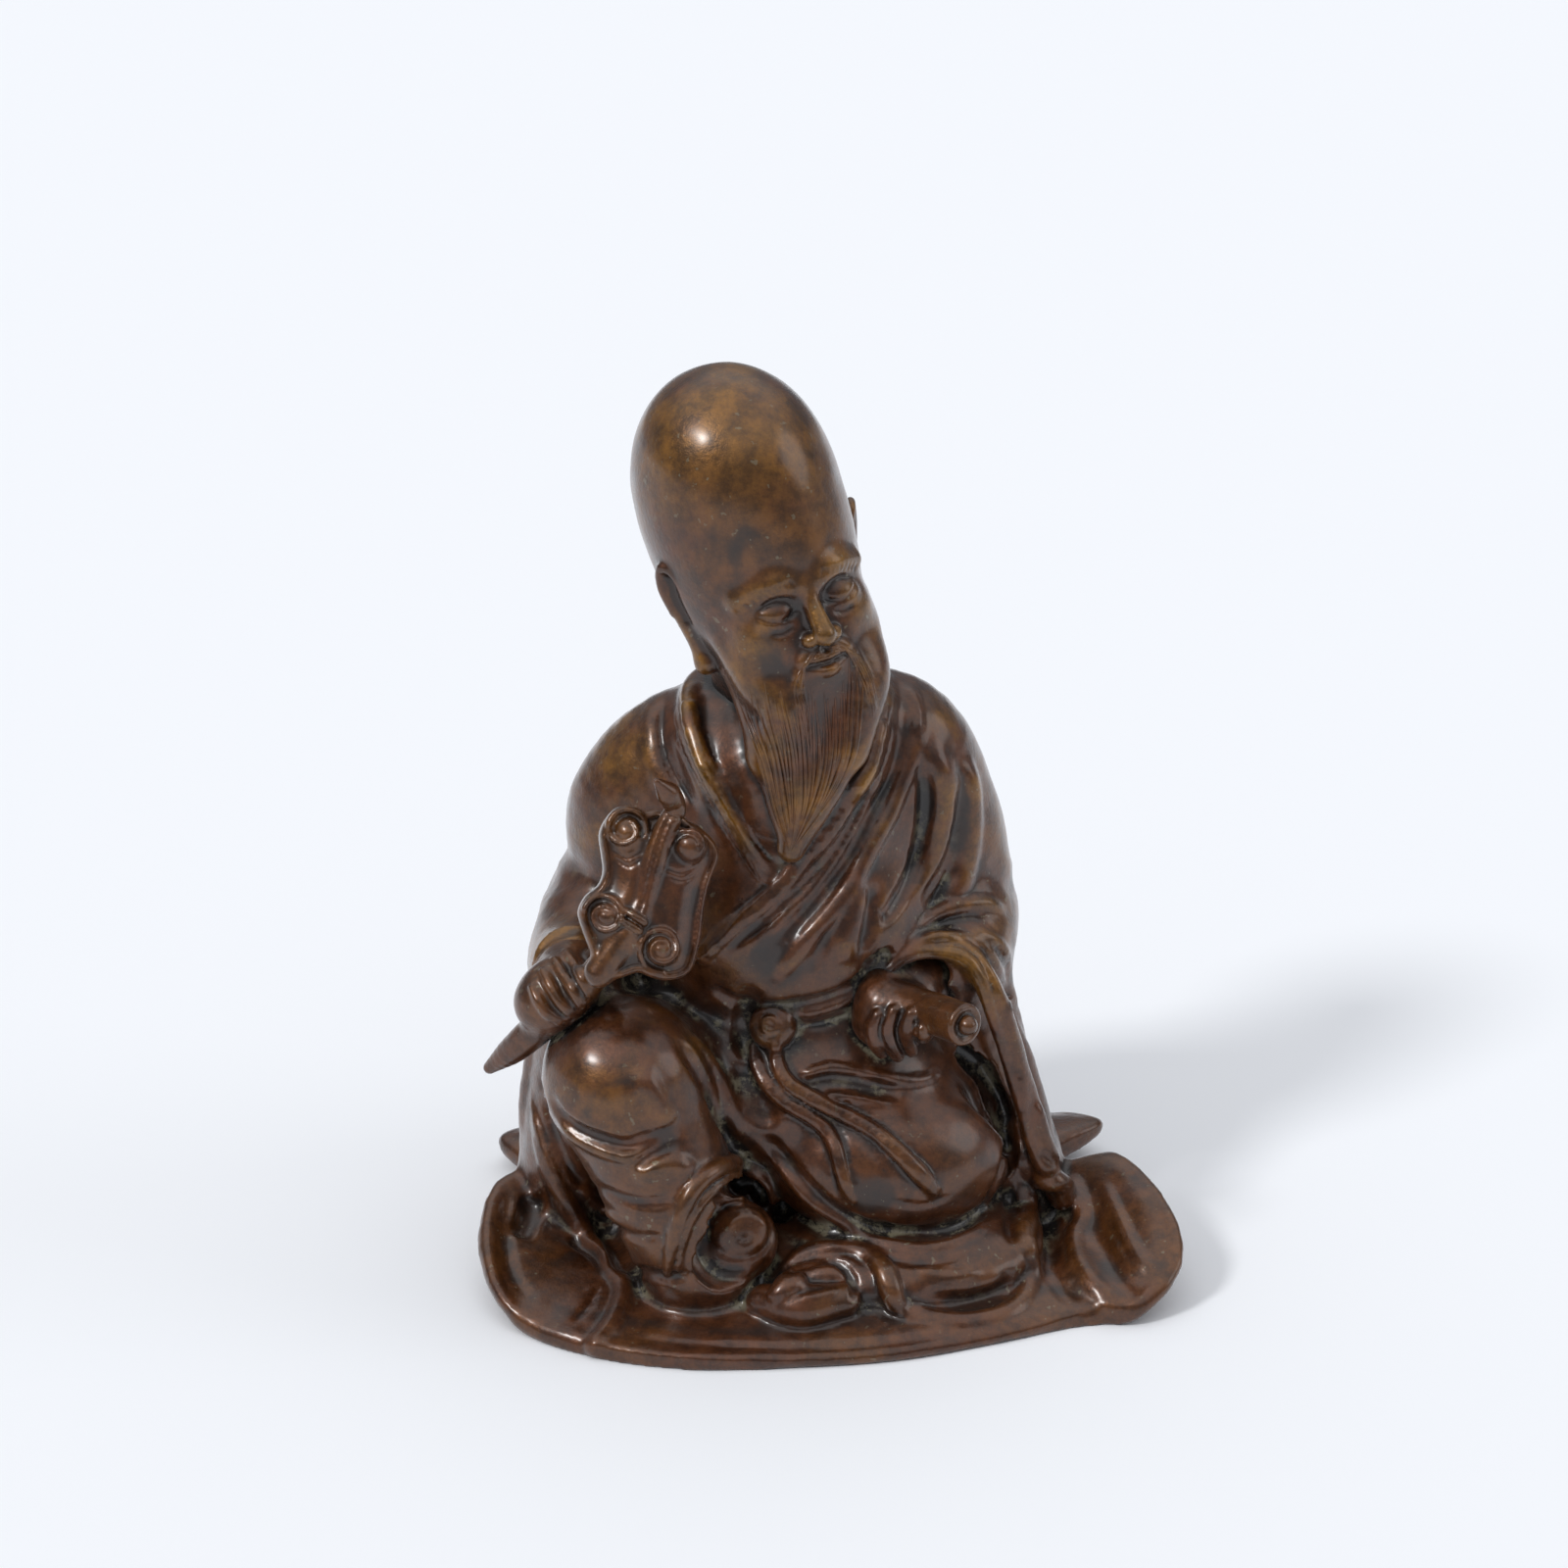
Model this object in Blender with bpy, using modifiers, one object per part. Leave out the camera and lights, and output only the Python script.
"""A small cast bronze: a seated sage with a tall domed head, a long beard and a wide robe.

The right hand holds a cloud-headed sceptre, the left a rolled scroll. The robe spreads
round the figure as its base. The whole casting is one solid, modelled as a sculptor would:
masses first, a skin over them, then the folds pressed and raised along their strokes.
Metres, +Z up, -Y is the front. The origin is the middle of the underside.
"""
import math

import bmesh
import bpy
import numpy as np
from mathutils import Matrix, Vector
from mathutils.bvhtree import BVHTree

FIGURE_HEIGHT = 0.1265        # underside to crown
HEM_THICKNESS = 0.0026        # the spread hem that the figure sits on
SCEPTRE_ROD_RADIUS = 0.0022
SCROLL_RADIUS = 0.0031
SASH_RING_RADIUS = 0.0030     # the round knot of the sash
TRIANGLES = 9400              # facets of the finished solid

# Pose, proportions and carving are in 126.5ths of the height.
SHARE = FIGURE_HEIGHT / 126.5
MASS_GRAIN = 1.1 * SHARE
DETAIL_GRAIN = 0.75 * SHARE

# The folds are drawn on a board of 1600 by 1600 steps that faces the viewer's eye.
EYE_DISTANCE = 504
EYE_ELEVATION = math.radians(22)
EYE_AIM = Vector((0, 0, 66))
BOARD_MIDDLE = 800
BOARD_LENS = 3778

NAME = "bronze_figure"

# Body under the robe: height, half width, half depth, middle to the side, middle to the back.
TRUNK = [
    (-2, 32, 25, -0.5, 6),
    (8, 31.5, 24.5, -0.5, 6),
    (20, 29.5, 22.5, -0.5, 5),
    (34, 26.5, 19.8, -0.5, 3),
    (46, 23.5, 18.8, 0, 1.5),
    (56, 22, 18.6, 0, 0.6),
    (64, 20, 17.6, 0, -0.6),
    (70, 17, 15.4, 0.3, -1.6),
    (76, 12.5, 12, 0.5, -1.6),
    (80.5, 8, 8, 0.5, -2),
    (84, 4, 4, 0.5, -2),
]

# Rim of the spread hem, counter-clockwise from the front: side, depth, how far it lifts.
HEM_RIM = [
    (-6.5, -43.5, 0), (13, -41.5, 0), (26, -37.5, 0), (41, -32, 0), (49, -32, 1.5), (54.5, -26, 5.5),
    (53, -16, 9), (47.5, -5, 10), (40, 0, 5), (38, 9, 2), (46.8, 19, 3.5), (25, 28, 0), (0, 31.5, 0),
    (-27, 25.5, 0), (-41.8, 16, 2.5), (-36, 6, 2), (-37, -5, 8), (-41, -12, 8.5), (-42, -23, 5),
    (-37, -33, 1), (-26, -40, 0), (-15.5, -43, 0),
]
HEM_MIDDLE = (3, -6)

# The head leans to its own right and looks down to its left.
HEAD_MIDDLE = Vector((-1.2, -7.5, 94.8))
HEAD_UP = Vector((-0.23, 0.06, 0.97)).normalized()
HEAD_AHEAD = Vector((0.45, -0.87, -0.06))

# Folds and hems as strokes on the board: kind, half width, depth, path.
FRONT_STROKES = [
    ("ridge", 1.8, 1.1, [(895, 690), (897, 740), (890, 790), (830, 868), (745, 945), (725, 970)]),
    ("ridge", 1.8, 1.0, [(697, 690), (719, 774), (745, 820), (775, 868), (790, 886)]),
    ("ridge", 2.4, 1.6, [(939, 748), (920, 785), (898, 848), (868, 907), (806, 981)]),
    ("ridge", 2.8, 1.6, [(946, 755), (972, 804), (961, 863), (935, 907)]),
    ("ridge", 2.6, 1.6, [(998, 792), (994, 848), (979, 892), (939, 922), (917, 959)]),
    ("groove", 2.2, 1.8, [(746, 1026), (798, 1030), (850, 1022), (905, 976)]),
    ("ridge", 1.8, 1.2, [(961, 952), (1009, 970), (1039, 1029), (1062, 1120)]),
    ("groove", 2.4, 1.8, [(563, 1129), (593, 1158), (632, 1172), (666, 1167), (690, 1140)]),
    ("ridge", 2.6, 1.4, [(681, 1050), (711, 1094), (735, 1138), (745, 1168)]),
    ("groove", 2.0, 1.8, [(760, 1168), (814, 1206), (843, 1240), (887, 1260), (981, 1255), (1032, 1192)]),
    ("ridge", 2.0, 1.6, [(902, 1296), (941, 1342), (991, 1345), (1035, 1333), (1054, 1266)]),
    ("ridge", 2.2, 1.6, [(544, 1150), (569, 1217), (601, 1271), (628, 1309), (612, 1372)]),
    ("groove", 2.8, 2.4, [(541, 1219), (526, 1263)]),
    ("ridge", 2.0, 1.6, [(1034, 1080), (1062, 1184), (1101, 1221), (1099, 1280), (1138, 1337)]),
    ("groove", 2.6, 2.0, [(1003, 1061), (1020, 1120), (1030, 1190)]),
]
BACK_STROKES = [
    ("ridge", 2.2, 1.5, [(715, 735), (800, 765), (885, 735)]),
    ("ridge", 3.4, 1.9, [(655, 850), (640, 980), (600, 1150), (565, 1280)]),
    ("ridge", 3.2, 1.5, [(725, 930), (715, 1050), (690, 1200), (675, 1320)]),
    ("groove", 3.0, 1.4, [(800, 880), (812, 1000), (800, 1180), (785, 1330)]),
    ("ridge", 3.2, 1.6, [(880, 920), (890, 1050), (915, 1200), (935, 1310)]),
    ("ridge", 3.4, 1.9, [(945, 850), (965, 980), (1005, 1150), (1035, 1270)]),
    ("groove", 2.6, 1.5, [(620, 890), (680, 960), (765, 1000)]),
    ("groove", 2.6, 1.5, [(985, 890), (925, 960), (850, 1005)]),
]
SIDE_STROKES = [
    ("groove", 2.4, 1.4, [(770, 870), (800, 930), (870, 960)]),
    ("groove", 2.4, 1.4, [(760, 940), (800, 1000), (860, 1015)]),
    ("ridge", 2.6, 1.4, [(770, 1060), (775, 1160), (765, 1290)]),
    ("ridge", 3.0, 1.6, [(850, 1060), (870, 1180), (895, 1300)]),
    ("groove", 2.6, 1.4, [(905, 1000), (940, 1130), (960, 1290)]),
]
RIBBON_STROKES = [
    ("ridge", 1.9, 1.9, [(776, 1072), (792, 1122), (838, 1154), (861, 1213), (870, 1224)]),
    ("ridge", 1.9, 1.9, [(792, 1072), (810, 1115), (874, 1136), (920, 1182), (951, 1216)]),
]
TROUSER_HEM = ("ridge", 2.4, 1.8, [(681, 1283), (690, 1241), (716, 1207), (745, 1192), (789, 1222)])
SCEPTRE_SPINE = ("ridge", 1.7, 1.2, [(641, 948), (658, 898), (669, 860), (679, 835), (673, 812)])


def place(point):
    """A point given in shares of the height, in metres."""
    return Vector(point) * SHARE


def clear_scene():
    for thing in list(bpy.data.objects):
        bpy.data.objects.remove(thing, do_unlink=True)


def evaluated_mesh(thing):
    """The object's mesh with its modifiers, as a mesh of its own; the object goes."""
    graph = bpy.context.evaluated_depsgraph_get()
    mesh = bpy.data.meshes.new_from_object(thing.evaluated_get(graph))
    bpy.data.objects.remove(thing, do_unlink=True)
    return mesh


def linked(data, name):
    thing = bpy.data.objects.new(name, data)
    bpy.context.scene.collection.objects.link(thing)
    return thing


def add_mesh(clay, mesh, matrix=None):
    """Press a closed mesh into the clay."""
    if matrix:
        mesh.transform(matrix)
    clay.from_mesh(mesh)
    bpy.data.meshes.remove(mesh)


def ball(clay, at, size, turn=None):
    """An ellipsoid at a point; turn holds its axes."""
    matrix = Matrix.Translation(place(at))
    if turn:
        matrix = matrix @ turn
    matrix = matrix @ Matrix.Diagonal((*place(size), 1))
    bmesh.ops.create_uvsphere(clay, u_segments=28, v_segments=18, radius=1, matrix=matrix)


def limb(clay, points, radii, flat=None):
    """A round-ended tube through the points, pressed flat along a direction by a ratio."""
    press = Matrix.Scale(flat[1], 4, Vector(flat[0]).normalized()) if flat else Matrix.Identity(4)
    spread = press.inverted()
    knots = [spread @ place(point) for point in points]
    curve = bpy.data.curves.new("limb", "CURVE")
    curve.dimensions = "3D"
    curve.bevel_depth = SHARE
    curve.bevel_resolution = 5
    curve.resolution_u = 8
    curve.use_fill_caps = True
    spline = curve.splines.new("BEZIER")
    spline.bezier_points.add(len(knots) - 1)
    for knot, at, radius in zip(spline.bezier_points, knots, radii):
        knot.co = at
        knot.handle_left_type = knot.handle_right_type = "AUTO"
        knot.radius = radius
    mesh = evaluated_mesh(linked(curve, "limb"))
    add_mesh(clay, mesh, press)
    for at, radius in ((knots[0], radii[0]), (knots[-1], radii[-1])):
        matrix = press @ Matrix.Translation(at) @ Matrix.Scale(radius * SHARE, 4)
        bmesh.ops.create_uvsphere(clay, u_segments=20, v_segments=12, radius=1, matrix=matrix)


def loft(clay, rings):
    """A closed skin over rings of as many points each, from the lowest ring up."""
    rows = [[clay.verts.new(point) for point in ring] for ring in rings]
    count = len(rows[0])
    for low, high in zip(rows, rows[1:]):
        for i in range(count):
            j = (i + 1) % count
            clay.faces.new((low[i], low[j], high[j], high[i]))
    clay.faces.new(list(reversed(rows[0])))
    clay.faces.new(rows[-1])


def smooth_step(value):
    value = max(0.0, min(1.0, value))
    return value * value * (3 - 2 * value)


def smooth_loop(points, steps):
    """A closed curve through the points, by the Catmull-Rom rule."""
    points = [Vector(point) for point in points]
    count = len(points)
    loop = []
    for i in range(count):
        before, start, end, after = (points[(i + k - 1) % count] for k in range(4))
        for step in range(steps):
            t = step / steps
            loop.append(0.5 * (2 * start + (end - before) * t
                               + (2 * before - 5 * start + 4 * end - after) * t ** 2
                               + (3 * start - before - 3 * end + after) * t ** 3))
    return loop


def trunk(clay):
    rings = []
    for height, half_width, half_depth, side, back in TRUNK:
        ring = []
        for i in range(48):
            angle = 2 * math.pi * i / 48
            x = side + half_width * math.cos(angle)
            y = back + half_depth * math.sin(angle)
            ring.append(place((x, y, height)))
        rings.append(ring)
    loft(clay, rings)


def spread_hem(clay):
    """The robe's spread hem: flat on the ground, lifted at the lobes of its rim."""
    rim = smooth_loop(HEM_RIM, 6)
    middle = Vector((*HEM_MIDDLE, 0))
    sunk = 1.5
    under, over = [], []
    for reach in (0.05, 0.35, 0.6, 0.7, 0.8, 0.9, 0.96, 1.0):
        low, high = [], []
        for point in rim:
            flat = middle + (Vector((point.x, point.y, 0)) - middle) * reach
            rise = max(point.z, 0) * smooth_step((reach - 0.62) / 0.38)
            low.append(place(flat + Vector((0, 0, rise - sunk * math.exp(-rise / sunk)))))
            crown = 6.0 * max(0, 1 - reach / 0.95) ** 0.8
            high.append(place(flat + Vector((0, 0, rise + crown))) + Vector((0, 0, HEM_THICKNESS)))
        under.append(low)
        over.append(high)
    loft(clay, under + over[::-1])


def arms(clay):
    limb(clay, [(-8, -1, 75), (-15, 0, 69.5), (-19.5, 2, 59), (-23, 3, 48)], [7, 9, 8.8, 8.5])
    limb(clay, [(9, -1, 77), (16, 0, 71.5), (20.5, 2, 61), (22.8, 3, 48)], [7, 9, 8.6, 8.4])
    limb(clay, [(-24.5, 4, 46), (-28, -6, 43), (-28, -15, 45)], [8.5, 7, 6])
    limb(clay, [(23, 4, 47), (24, -4, 44), (19.5, -9, 43)], [8.5, 7.5, 6])


def hanging_sleeves(clay):
    limb(clay, [(-27, -4, 42), (-29, -4, 28), (-31, -5, 12), (-31, -6, 3)], [8, 9.5, 10, 10], ((1, 0.2, 0), 0.6))
    limb(clay, [(24, -2, 44), (27.5, -3, 30), (31, -4, 16), (34.5, -5, 6)], [8.5, 9, 10, 10], ((1, -0.3, 0), 0.5))
    mouth = [(13.5, -13.5, 42.5), (16, -13.5, 46.5), (20, -12.5, 48), (25, -13, 45.5), (28.5, -14, 40),
             (32.5, -13.5, 27), (36, -13.5, 15), (38.5, -12, 9)]
    limb(clay, mouth, [1.6] + [2.0] * 7)


def belly_and_legs(clay):
    ball(clay, (0, -9, 49), (18, 12.5, 14))
    ball(clay, (2, -10, 26), (22, 14, 13))
    limb(clay, [(-12, 4, 16), (-18, -14, 27), (-21.5, -24, 34)], [12, 12, 10.5])
    limb(clay, [(-21, -25, 33), (-15.5, -28, 20), (-11.5, -28, 9)], [10, 9, 8.5])
    folded = Matrix.Rotation(math.radians(12), 4, "Z") @ Matrix.Rotation(math.radians(8), 4, "Y")
    ball(clay, (13.5, -14, 18), (18, 14, 12.5), folded)
    ball(clay, (14, -18, 6), (22, 16.5, 6))


def head_axes():
    ahead = (HEAD_AHEAD - HEAD_UP * HEAD_AHEAD.dot(HEAD_UP)).normalized()
    side = ahead.cross(HEAD_UP)
    return Matrix((side, -ahead, HEAD_UP)).transposed().to_4x4()


def on_head(x, y, z):
    """A point of the head: x to its own right, y to the back, z up its own axis."""
    return HEAD_MIDDLE + head_axes() @ Vector((x, y, z))


def head(clay):
    axes = head_axes()
    ball(clay, on_head(0.8, 2, 17), (13.1, 14.2, 15.4), axes)
    ball(clay, on_head(0.5, 1.6, 9.5), (12.5, 13.6, 14), axes)
    ball(clay, on_head(0, 0.5, 3), (11.8, 12.5, 16), axes)
    ball(clay, on_head(0, -3.5, -7), (8.8, 9, 9), axes)
    limb(clay, [on_head(0, 4, -4), (0.5, -3, 76)], [8.5, 9.5])
    limb(clay, [on_head(0, -11.4, 2.6), on_head(0, -13.2, -1.4), on_head(0, -13.6, -3.4)], [1.2, 1.6, 2.1])
    for side in (-1, 1):
        brow = [on_head(side * 1.6, -11.6, 3.4), on_head(side * 4.6, -11.4, 4.4), on_head(side * 8.4, -8.6, 3)]
        limb(clay, brow, [1.2, 1.3, 0.9])
        ball(clay, on_head(side * 5.4, -9.2, -3.6), (3.4, 3, 3), axes)
        ear = [on_head(side * 11.6, 1.0, 10), on_head(side * 12.8, 1.4, 7.6), on_head(side * 12.3, 1.6, 3),
               on_head(side * 11.2, 1.0, -4.6)]
        limb(clay, ear, [1.2, 1.9, 1.6, 1.7])
        limb(clay, [on_head(side * 1, -13, -5.4), on_head(side * 3.4, -12, -6.8), on_head(side * 5.2, -10.6, -11),
                    on_head(side * 5.2, -10.4, -17)], [1.2, 1.4, 1.3, 0.8])


def beard(clay):
    limb(clay, [(3, -15.5, 87), (2.4, -18, 82), (1, -19.5, 75), (0.2, -20.5, 66.5)], [8.6, 8.4, 5.6, 1.2],
         ((0, 1, 0.2), 0.6))


def fist(clay, start, end, grip, count, thickness):
    """Fingers that wrap round a rod, from start to end along it."""
    rod = (end - start).normalized()
    sight = Vector((0, math.cos(EYE_ELEVATION), -math.sin(EYE_ELEVATION)))
    across = rod.cross(sight).normalized()
    outward = across.cross(rod)
    if outward.dot(sight) > 0:
        outward = -outward
    for i in range(count):
        middle = start.lerp(end, i / (count - 1))
        turns = [math.radians(angle) for angle in (-100, -40, 20, 85)]
        arc = [middle + grip * (math.cos(turn) * outward + math.sin(turn) * across) for turn in turns]
        limb(clay, arc, [thickness] * 4)


def sceptre(clay):
    """The cloud-headed sceptre and the right hand on its stem."""
    rod = SCEPTRE_ROD_RADIUS / SHARE
    limb(clay, [(-39.5, -20.5, 33.2), (-35, -22.6, 38), (-28, -26, 46), (-22, -28, 54)],
         [0.45 * rod, 0.95 * rod, rod, rod])
    ball(clay, (-28, -21, 45.5), (5, 4.5, 5))
    fist(clay, Vector((-25.3, -26.8, 49.2)), Vector((-32, -23.6, 41.6)), rod + 0.9, 4, 1.7)
    flat = ((0.1, 1, 0.3), 0.45)
    limb(clay, [(-22.5, -28, 53), (-18.5, -28.5, 60), (-16, -28, 70)], [4, 7, 5.5], flat)
    clouds = (((-23.2, -28, 57.6), 4.4), ((-20.4, -27.5, 69.5), 5), ((-12.6, -27.5, 67.8), 5.4),
              ((-14.2, -29.5, 55.6), 5.1), ((-12.5, -28.5, 61.5), 4.6))
    for at, size in clouds:
        ball(clay, at, (size, 0.5 * size, size))
    limb(clay, [(-15.5, -28.6, 70), (-14, -29.6, 74.5), (-17, -30.5, 78.5)], [2.2, 2.1, 0.9])


def scroll(clay):
    """The rolled scroll and the left hand on it."""
    near, far = Vector((11.8, -17.5, 42)), Vector((24.6, -26, 41.5))
    roll = SCROLL_RADIUS / SHARE
    limb(clay, [near, far], [roll, 0.92 * roll])
    limb(clay, [far, far + (far - near).normalized() * 2.6], [1.3, 1.3])
    limb(clay, [(21, -8, 43), (18.5, -14, 40), (16.5, -18, 38)], [4, 4, 3.6])
    fist(clay, near.lerp(far, 0.22), near.lerp(far, 0.68), roll + 0.6, 4, 1.5)


def shoe_and_cloth(clay):
    ball(clay, (-6.3, -31, 10.5), (5.6, 6, 6))
    limb(clay, [(-2.5, -34, 6), (2, -36, 7.5), (8, -35, 8)], [2.5, 3, 2.2])


def sash_knot(clay):
    middle = Vector((-2, -20.5, 39.8))
    bpy.ops.mesh.primitive_torus_add(major_segments=24, minor_segments=10, major_radius=0.7 * SASH_RING_RADIUS,
                                     minor_radius=0.45 * SASH_RING_RADIUS)
    tilt = Matrix.Rotation(math.radians(90) - EYE_ELEVATION, 4, "X")
    add_mesh(clay, evaluated_mesh(bpy.context.object), Matrix.Translation(place(middle)) @ tilt)
    ball(clay, middle + Vector((0, 1.6, 0)), (2.8, 2.4, 2.8))


def skin(clay, grain, smoothing):
    """One closed skin over everything in the clay, with its creases softened."""
    mesh = bpy.data.meshes.new("clay")
    clay.to_mesh(mesh)
    clay.free()
    thing = linked(mesh, "clay")
    cover = thing.modifiers.new("Cover", "REMESH")
    cover.mode = "VOXEL"
    cover.voxel_size = grain
    soften = thing.modifiers.new("Soften", "SMOOTH")
    soften.factor = 0.5
    soften.iterations = smoothing
    return evaluated_mesh(thing)


def eye_axes(turn):
    """The viewer's eye, walked round the figure by a turn, with the ways right, up and ahead from it."""
    walk = Matrix.Rotation(math.radians(turn), 3, "Z")
    ahead = walk @ Vector((0, math.cos(EYE_ELEVATION), -math.sin(EYE_ELEVATION)))
    right = walk @ Vector((1, 0, 0))
    return EYE_AIM - ahead * EYE_DISTANCE, right, right.cross(ahead), ahead


def on_surface(tree, path, turn):
    """Where the board's path falls on the figure, as an array of points in metres."""
    eye, right, up, ahead = eye_axes(turn)
    points = []
    steps = 8
    for start, end in zip(path, path[1:]):
        for step in range(steps):
            x, y = Vector(start).lerp(Vector(end), step / steps)
            way = ahead + right * (x - BOARD_MIDDLE) / BOARD_LENS + up * (BOARD_MIDDLE - y) / BOARD_LENS
            hit = tree.ray_cast(place(eye), way.normalized())[0]
            if hit:
                points.append(hit)
    return np.array(points)


def mirrored(strokes):
    return [(kind, half_width, depth, [(2 * BOARD_MIDDLE - x, y) for x, y in path])
            for kind, half_width, depth, path in strokes]


def carve(mesh, strokes, turn=0):
    """Raise a ridge or press a groove along each stroke, drawn from the front or after a turn."""
    work = bmesh.new()
    work.from_mesh(mesh)
    tree = BVHTree.FromBMesh(work)
    work.free()
    count = len(mesh.vertices)
    places = np.empty(count * 3)
    normals = np.empty(count * 3)
    mesh.vertices.foreach_get("co", places)
    mesh.vertices.foreach_get("normal", normals)
    places = places.reshape(count, 3)
    normals = normals.reshape(count, 3)
    lift = np.zeros(count)
    for kind, half_width, depth, path in strokes:
        line = on_surface(tree, path, turn)
        reach = half_width * SHARE
        near = np.all((places > line.min(0) - reach) & (places < line.max(0) + reach), axis=1)
        gap = np.linalg.norm(places[near, None, :] - line[None, :, :], axis=2)
        along = gap.argmin(axis=1) / len(line)
        ends = np.clip(8 * np.minimum(along, 1 - along) + 0.25, 0, 1)
        profile = np.clip(1 - (gap.min(axis=1) / reach) ** 2, 0, 1) ** 2
        sign = 1 if kind == "ridge" else -1
        lift[near] += sign * depth * SHARE * profile * ends
    mesh.vertices.foreach_set("co", (places + normals * lift[:, None]).ravel())
    mesh.update()


def cut_flat(mesh):
    """Cut the underside flat at the ground."""
    work = bmesh.new()
    work.from_mesh(mesh)
    geometry = work.verts[:] + work.edges[:] + work.faces[:]
    cut = bmesh.ops.bisect_plane(work, geom=geometry, plane_co=(0, 0, 0), plane_no=(0, 0, 1), clear_inner=True)
    rim = [edge for edge in cut["geom_cut"] if isinstance(edge, bmesh.types.BMEdge)]
    bmesh.ops.holes_fill(work, edges=rim, sides=0)
    bmesh.ops.triangulate(work, faces=work.faces[:])
    work.to_mesh(mesh)
    work.free()


def fewer_facets(mesh, count):
    thing = linked(mesh, "clay")
    fewer = thing.modifiers.new("Fewer facets", "DECIMATE")
    fewer.ratio = min(1.0, count / len(mesh.polygons))
    fewer.use_collapse_triangulate = True
    return evaluated_mesh(thing)


def bronze():
    material = bpy.data.materials.new("patinated_bronze")
    material.use_nodes = True
    shader = material.node_tree.nodes["Principled BSDF"]
    shader.inputs["Base Color"].default_value = (0.09, 0.045, 0.025, 1)
    shader.inputs["Metallic"].default_value = 0.75
    shader.inputs["Roughness"].default_value = 0.36
    return material


def main():
    clear_scene()
    clay = bmesh.new()
    for mass in (trunk, spread_hem, arms, hanging_sleeves, belly_and_legs):
        mass(clay)
    robe = skin(clay, MASS_GRAIN, 6)
    carve(robe, FRONT_STROKES)
    carve(robe, BACK_STROKES, 180)
    carve(robe, SIDE_STROKES, 90)
    carve(robe, mirrored(SIDE_STROKES), -90)

    clay = bmesh.new()
    add_mesh(clay, robe)
    for detail in (head, beard, sceptre, scroll, shoe_and_cloth, sash_knot):
        detail(clay)
    figure = skin(clay, DETAIL_GRAIN, 2)
    carve(figure, RIBBON_STROKES + [TROUSER_HEM, SCEPTRE_SPINE])
    cut_flat(figure)
    figure = fewer_facets(figure, TRIANGLES)

    xs, ys, zs = zip(*(vertex.co for vertex in figure.vertices))
    figure.transform(Matrix.Translation((-(min(xs) + max(xs)) / 2, -(min(ys) + max(ys)) / 2, -min(zs))))
    figure.name = NAME
    figure.materials.clear()
    figure.materials.append(bronze())
    figure.shade_smooth()

    statue = bpy.data.objects.new(NAME, figure)
    collection = bpy.data.collections.new("Bronze figure")
    bpy.context.scene.collection.children.link(collection)
    collection.objects.link(statue)


main()
